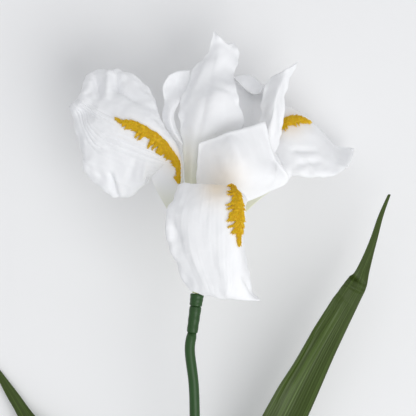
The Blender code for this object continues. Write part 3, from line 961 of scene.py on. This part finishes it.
ARM_FRONT = Petal(
    "style_arm_front", 75, Seat.INNER,
    (
        ((8, 27.5, 5.5), (18, 38.5, 8), (29, 44, 6), (40.5, 50.5, 3), (34, 60.5, 6), (30, 76.5, 6)),
        ((4.5, 27, 6.5), (8, 38, 12), (13.5, 46, 18), (18, 53, 22), (18, 62.5, 22), (16, 71.5, 18)),
        ((1.5, 27, 5.5), (0.5, 38, 9), (0, 46.5, 12), (0, 54.5, 13), (0.5, 61, 13), (1, 66.5, 13)),
    ),
    folds=(
        Fold((14, 70), (20, 56), 2.6, -1.5),
        Fold((35, 57), (32, 48), 1.0, -1.1),
        Fold((6, 64), (10, 52), 2.2, 0.5),
    ),
    curl=0.9, curl_width=2.2, ruffle=0.3, throat_reach=0.4, glow=(12, 50, 9, 0.2), columns=100, rows=90,
)
ARM_LEFT = Petal(
    "style_arm_left", 195, Seat.INNER,
    (
        ((-4.5, 37, 0), (-6.5, 59.5, -1), (-8, 65.5, 0), (-13.5, 73, 0), (-16, 79.5, -1), (-15, 86, -3),
         (-15.5, 92.5, -5), (-13, 98, -7)),
        ((-3.5, 37, 0.5), (-4.5, 59.5, 1.5), (-6, 65, 3), (-11, 73, 3.5), (-12.5, 79.5, 3),
         (-12, 85.5, -2), (-10, 93, -11), (-8.5, 100, -9)),
        ((-2, 37, -2), (-3.5, 59.5, -1.5), (-4.5, 65, 0), (-9, 73, 0), (-10.5, 79.5, 0), (-8.5, 85, -3),
         (-4, 92.5, -7), (-3.5, 100.5, -8)),
    ),
    curl=0.4, curl_width=1.4, crumple=0.15, ruffle=0.2, throat_reach=0.5, columns=60, rows=90,
)
ARM_RIGHT = Petal(
    "style_arm_right", 315, Seat.INNER,
    (
        ((9.5, 33.5, -4), (21, 46, -5), (29, 59.5, -6), (32, 66.5, -7)),
        ((13, 34.5, -3), (25, 47.5, -4), (32.5, 58.5, -4), (35, 64, -6)),
        ((16, 35, -3), (29, 46, -4), (38, 53.5, -6), (39, 56.5, -8)),
    ),
    curl=0.6, curl_width=2.0, ruffle=0.3, throat_reach=0.5, columns=60, rows=70,
)
PETALS = (
    FALL_LEFT, FALL_FRONT, FALL_RIGHT, STANDARD_CENTRE, STANDARD_RIGHT, STANDARD_BACK,
    ARM_FRONT, ARM_LEFT, ARM_RIGHT,
)
BEARDS = (
    Beard(
        "beard_left", FALL_LEFT, 4.0, 9.75, 0.47, (0.6, 0.9, 1.5, 2.4, 2.5, 1.7, 0.2),
        comb=(0.8, 0.0), teeth=(0.95, 0.15), tufts=13,
    ),
    Beard(
        "beard_front", FALL_FRONT, 6.0, 9.1, 1 / 3, (0.7, 1.8, 2.6, 2.6, 0.2),
        comb=(0.6, 0.9), teeth=(0.6, 0.95), tufts=9,
    ),
    Beard(
        "beard_right", FALL_RIGHT, 6.0, 8.2, 2 / 3, (1.2, 2.1, 2.0, 0.2),
        comb=(0.1, 0.6), teeth=(0.2, 0.7), tufts=7,
    ),
)


# ------------------------------------------------------------------ stem, collars and leaves

FLOOR = -50.5
STEM_RADIUS = 2.35
STEM_TOP = -18.55
STEM_RUN_OUT = 8.0  # the stem stays straight for this length below its top
STEM_ROUTE = (
    (-1.7, -42.0, -1.6), (-1.2, -60.0, -5.0), (-0.5, -100.0, -17.0), (0.0, -150.0, -33.5),
    (0.0, -200.0, -45.2),
    (0.0, -236.0, FLOOR + STEM_RADIUS + 0.02), (0.0, -262.0, FLOOR + STEM_RADIUS),
)


def stem_line() -> np.ndarray:
    """The stem's centre line from its top to its cut end, in the flower's frame."""
    straight = [STEM_TOP * AXIS, (STEM_TOP - STEM_RUN_OUT) * AXIS]
    return along(straight + [np.array(p) for p in STEM_ROUTE], 2.0)


def tube_mesh(name: str, centres: np.ndarray, radii: np.ndarray, sides: int) -> bpy.types.Mesh:
    """A tube whose profile may double back, such as the outside of a stem and then its bore.

    Args:
        name: The mesh's name.
        centres: The centre of each ring, in the flower's frame.
        radii: The radius of each ring.
        sides: The number of points round a ring.

    Returns:
        The mesh in the row's frame, closed end to end.
    """
    run = np.gradient(centres, axis=0)
    for i in range(len(run)):
        if np.linalg.norm(run[i]) < 1e-6 or run[i] @ AXIS > 0:
            run[i] = -AXIS if i < 1 else run[i - 1]
    run /= np.linalg.norm(run, axis=1, keepdims=True)
    first = np.cross(run, OUT)
    first /= np.linalg.norm(first, axis=1, keepdims=True)
    second = np.cross(first, run)
    angles = np.linspace(0, 2 * np.pi, sides, endpoint=False)
    rings = (
        centres[:, None]
        + radii[:, None, None] * np.cos(angles)[None, :, None] * first[:, None]
        + radii[:, None, None] * np.sin(angles)[None, :, None] * second[:, None]
    )
    count = len(centres)
    faces = []
    for i in range(count):
        here, there = i * sides, (i + 1) % count * sides
        for j in range(sides):
            k = (j + 1) % sides
            faces.append((here + j, here + k, there + k, there + j))
    mesh = bpy.data.meshes.new(name)
    mesh.from_pydata(((rings.reshape(-1, 3) + ORIGIN) * MM).tolist(), [], faces)
    shape = bmesh.new()
    shape.from_mesh(mesh)
    bmesh.ops.recalc_face_normals(shape, faces=shape.faces)
    shape.to_mesh(mesh)
    shape.free()
    mesh.shade_smooth()
    return mesh


@dataclass
class Collar:
    """A moulded collar with shallow rings round the head's axis, and a rounded lip at each end."""

    node: str
    start: float
    end: float
    radii: tuple[float, float]
    rings: int = 3
    ring_height: float = 0.09
    bore: float = 1.55
    lip: float = 0.4
    sides: int = 64

    def build(self, finish: bpy.types.Material) -> bpy.types.Object:
        """Adds the collar in place of its CAD node.

        Args:
            finish: Its material.

        Returns:
            The new object.
        """
        share = np.linspace(0, 1, 60)
        length = abs(self.end - self.start)
        ring = self.ring_height * np.sin(np.pi * self.rings * share) ** 2
        from_end = np.minimum(share, 1 - share) * length
        lip = self.lip * (1 - np.clip(from_end / self.lip, 0, 1)) ** 2
        outer = self.radii[0] + share * (self.radii[1] - self.radii[0]) - self.ring_height + ring - lip
        height = self.start + share * (self.end - self.start)
        centres = np.concatenate([height, [self.end, self.start]])[:, None] * AXIS
        radii = np.concatenate([outer, [self.bore, self.bore]])
        mesh = tube_mesh(self.node + "_moulding", centres, radii, self.sides)
        return add_piece(mesh, finish, "stem_plastic", self.node)


@dataclass
class Stem:
    """The extruded sheath round the wire, with a rounded top and a square cut end."""

    node: str = "stem"
    radius: float = STEM_RADIUS
    wall: float = 0.8
    waver: float = 0.05  # how unevenly the sheath is drawn, mm
    top_round: float = 0.3  # how far the top edge is rounded in, mm
    sides: int = 48

    def build(self, finish: bpy.types.Material) -> bpy.types.Object:
        """Adds the stem in place of its CAD node.

        Args:
            finish: Its material.

        Returns:
            The new object.
        """
        line = stem_line()
        outer = self.radius - self.waver * (1 + np.sin(line[:, 1] / 7.0) * np.sin(line[:, 1] / 2.3)) / 2
        outer[0] -= self.top_round
        centres = np.concatenate([line, line[::-1]])
        radii = np.concatenate([outer, np.full(len(line), self.radius - self.wall)])
        mesh = tube_mesh(self.node + "_sheath", centres, radii, self.sides)
        return add_piece(mesh, finish, "stem_plastic", self.node)


@dataclass
class Leaf:
    """A sword leaf that clasps the stem, with a fold along it and creases across it."""

    node: str
    side: int
    clasp: tuple[float, float]
    blade: tuple[tuple[Point, ...], ...]
    folds: tuple[Fold, ...] = ()
    clasp_radii: tuple[float, float] = (6.3, 4.1)
    clasp_angle: float = 60.0
    vein_height: float = 0.05
    veins: int = 15
    columns: int = 90
    rows: int = 220
    thickness: float = 0.6

    @property
    def ribs(self) -> np.ndarray:
        """The left margin, the midline and the right margin, from the clasp to the tip.

        Returns:
            The ribs as [rib, station, xyz], in millimetres.
        """
        line = along(stem_line(), 1.0)
        ribs = []
        for angle, rib in zip((-self.clasp_angle, 0, self.clasp_angle), self.blade):
            turned = math.radians(self.side * angle)
            away = np.array([self.side * math.cos(turned), 0, math.sin(turned)])
            start = [
                line[np.argmin(abs(line[:, 1] - y))] + radius * away
                for y, radius in zip(self.clasp, self.clasp_radii)
            ]
            ribs.append(start + [np.array(p, float) for p in rib])
        return np.array(ribs)

    def build(self, finish: bpy.types.Material) -> bpy.types.Object:
        """Adds the leaf in place of its CAD node.

        Args:
            finish: Its material.

        Returns:
            The new object.
        """
        u, v = np.linspace(0, 1, self.columns), np.linspace(0, 1, self.rows)
        points = sheet(self.ribs, u, v)
        normals = sheet_normals(points)
        uu, vv = np.meshgrid(u, v, indexing="ij")
        relief = self.vein_height * np.sin(2 * np.pi * self.veins * uu) * smooth_step(vv, 0.02, 0.2)
        relief += 0.25 * wander(points, 11.0, 4.0)
        for fold in self.folds:
            relief += fold.relief(points, vv)
        mesh = sheet_mesh(self.node + "_blade", points + normals * relief[..., None], {})
        leaf = add_piece(mesh, finish, "leaf_fabric", self.node)
        thicken(leaf, self.thickness)
        return leaf


COLLARS = (
    Collar("collar_upper", -0.9, -6.46, (3.15, 2.8)),
    Collar("collar_lower", -6.5, -18.5, (2.75, 2.5)),
)
LEAVES = (
    Leaf(
        "leaf_right", 1, (-166.0, -148.0),
        (
            ((6.5, -124, -32), (16.5, -87, -26), (29.5, -58, -21), (45.5, -30, -18), (60.5, -6, -15),
             (67, 3.5, -14), (72, 9, -14), (78, 21, -16), (83, 34, -19), (87.5, 43.5, -22)),
            ((11, -126, -34), (25, -89, -29), (40, -58, -24), (54, -30, -20), (67.5, -6, -16),
             (72.5, 2.5, -14), (75, 9, -15), (80, 21, -17), (84, 34, -19.5), (88, 44, -22)),
            ((17, -128, -32), (34.5, -91, -26), (50.5, -58, -21), (62.5, -30, -18), (73.5, -6, -15),
             (77, 1.5, -15), (78.5, 8.5, -16), (81.5, 21, -18), (85, 34, -20), (88.5, 44, -22)),
        ),
        folds=(
            Fold((65, 4.5), (76, -1), 0.7, 0.8),
            Fold((67, 8), (76, 3), 0.8, -0.9),
            Fold((61, 2), (70, -6), 0.8, 0.5),
            Fold((60, -2), (68, -9), 0.6, -0.4),
            Fold((38, -50), (68, 6), 1.6, -1.3),
            Fold((46, -42), (70, 2), 1.2, 0.9),
            Fold((66, 7.5), (73, 5), 1.6, -1.5),
            Fold((40, -40), (52, -22), 2.5, 1.0),
        ),
    ),
    Leaf(
        "leaf_left", -1, (-186.0, -172.0),
        (
            ((-30, -142.5, -37), (-57, -107.5, -36), (-74, -81.5, -39), (-84.5, -60, -43),
             (-90, -50.5, -46), (-96, -39.5, -48.8), (-101, -32, -50.05)),
            ((-22.5, -141.5, -39), (-50.5, -102.5, -39), (-69.5, -77, -42), (-80.5, -59.5, -44.5),
             (-87.5, -48.5, -46.5), (-95, -38, -49), (-100.5, -31.5, -50.05)),
            ((-16.5, -137.5, -37), (-44, -95.5, -36), (-64, -71.5, -39), (-76.5, -60, -43),
             (-84.5, -50, -46), (-93.5, -39, -48.8), (-100, -31.5, -50.05)),
        ),
    ),
)


# ------------------------------------------------------------------ studio


@dataclass(frozen=True)
class Softbox:
    """A square softbox: its place and size in metres and its power in watts."""

    name: str
    place: Point
    power: float
    size: float


@dataclass
class Studio:
    """A pale floor, soft lights and the camera, which looks straight down on the flower."""

    floor_colour: str = "F1F1F1"
    floor_size: float = 12.0
    world_strength: float = 0.58
    world_colour: str = "F2F4F8"
    camera_height: float = 1000.0
    middle: tuple[float, float] = (4.725, 37.8)
    lens: float = 192.3
    aim: Point = (0.0, 0.1, 0.05)  # where the softboxes point, in metres
    softboxes: tuple[Softbox, ...] = (
        Softbox("Key softbox", (0.6, -0.6, 1.3), 12.5, 1.2),
        Softbox("Fill softbox", (0.1, 0.5, 1.5), 3.0, 1.4),
    )

    def add_floor(self) -> None:
        """Adds the floor under the flower."""
        half = self.floor_size / 2
        mesh = bpy.data.meshes.new("Floor")
        corners = [(-half, -half, 0), (half, -half, 0), (half, half, 0), (-half, half, 0)]
        mesh.from_pydata(corners, [], [(0, 1, 2, 3)])
        made, _, shader = blank_material("Matte white paper")
        shader.inputs["Base Color"].default_value = linear(self.floor_colour)
        shader.inputs["Roughness"].default_value = 0.9
        shader.inputs["Specular IOR Level"].default_value = 0.1
        mesh.materials.append(made)
        floor = bpy.data.objects.new("Floor", mesh)
        bpy.context.scene.collection.objects.link(floor)

    def add_light(self, softbox: Softbox) -> None:
        """Adds a softbox that points at the flower.

        Args:
            softbox: Its name, place, power and size.
        """
        lamp = bpy.data.lights.new(softbox.name, "AREA")
        lamp.shape = "SQUARE"
        lamp.size = softbox.size
        lamp.energy = softbox.power
        placed = bpy.data.objects.new(softbox.name, lamp)
        placed.location = softbox.place
        towards = Vector(self.aim) - Vector(softbox.place)
        placed.rotation_euler = towards.to_track_quat("-Z", "Y").to_euler()
        bpy.context.scene.collection.objects.link(placed)

    def build(self) -> None:
        """Adds everything and points the camera."""
        scene = bpy.context.scene
        scene.view_settings.view_transform = "Standard"
        self.add_floor()
        for softbox in self.softboxes:
            self.add_light(softbox)
        world = bpy.data.worlds.new("Studio")
        scene.world = world
        world.use_nodes = True
        background = world.node_tree.nodes["Background"]
        background.inputs["Color"].default_value = linear(self.world_colour)
        background.inputs["Strength"].default_value = self.world_strength
        lens = bpy.data.cameras.new("Camera")
        lens.lens = self.lens
        camera = bpy.data.objects.new("Camera", lens)
        camera.location = Vector((np.array((*self.middle, self.camera_height)) + ORIGIN) * MM)
        scene.collection.objects.link(camera)
        scene.camera = camera


@dataclass
class IrisFlower:
    """The whole stem: petals, beards, collars, stem and leaves."""

    petal: PetalFabric = PetalFabric()
    bristle: BeardBristle = BeardBristle()
    stem: MouldedPlastic = MouldedPlastic("Glossy green moulded polyethylene", "34572C", "274421", 0.34, 0.0)
    throat: MouldedPlastic = MouldedPlastic("Pale green moulded polyethylene", "B9C27A", "A3AE62", 0.45)
    wire: DrawnSteel = DrawnSteel()
    leaf: LeafFabric = LeafFabric()

    def dress(self, node: str, finish: bpy.types.Material) -> None:
        """Gives a CAD node that stays its finish."""
        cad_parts[node].material_slots[0].material = finish
        log.info("%s keeps its CAD shape, in %s", node, finish.name)

    def build(self) -> None:
        """Adds every piece of the flower."""
        fabric, gold, green, blade = (
            finish.build() for finish in (self.petal, self.bristle, self.stem, self.leaf)
        )
        for petal in PETALS:
            petal.build(fabric)
        for beard in BEARDS:
            beard.build(gold)
        for collar in COLLARS:
            collar.build(green)
        Stem().build(green)
        for leaf in LEAVES:
            leaf.build(blade)
        self.dress("receptacle", self.throat.build())
        self.dress("stem_wire", self.wire.build())


def main() -> None:
    """Builds the flower and its studio."""
    logging.basicConfig(level=logging.INFO, format="%(name)s: %(message)s")
    IrisFlower().build()
    Studio().build()


if __name__ == "__main__":
    main()
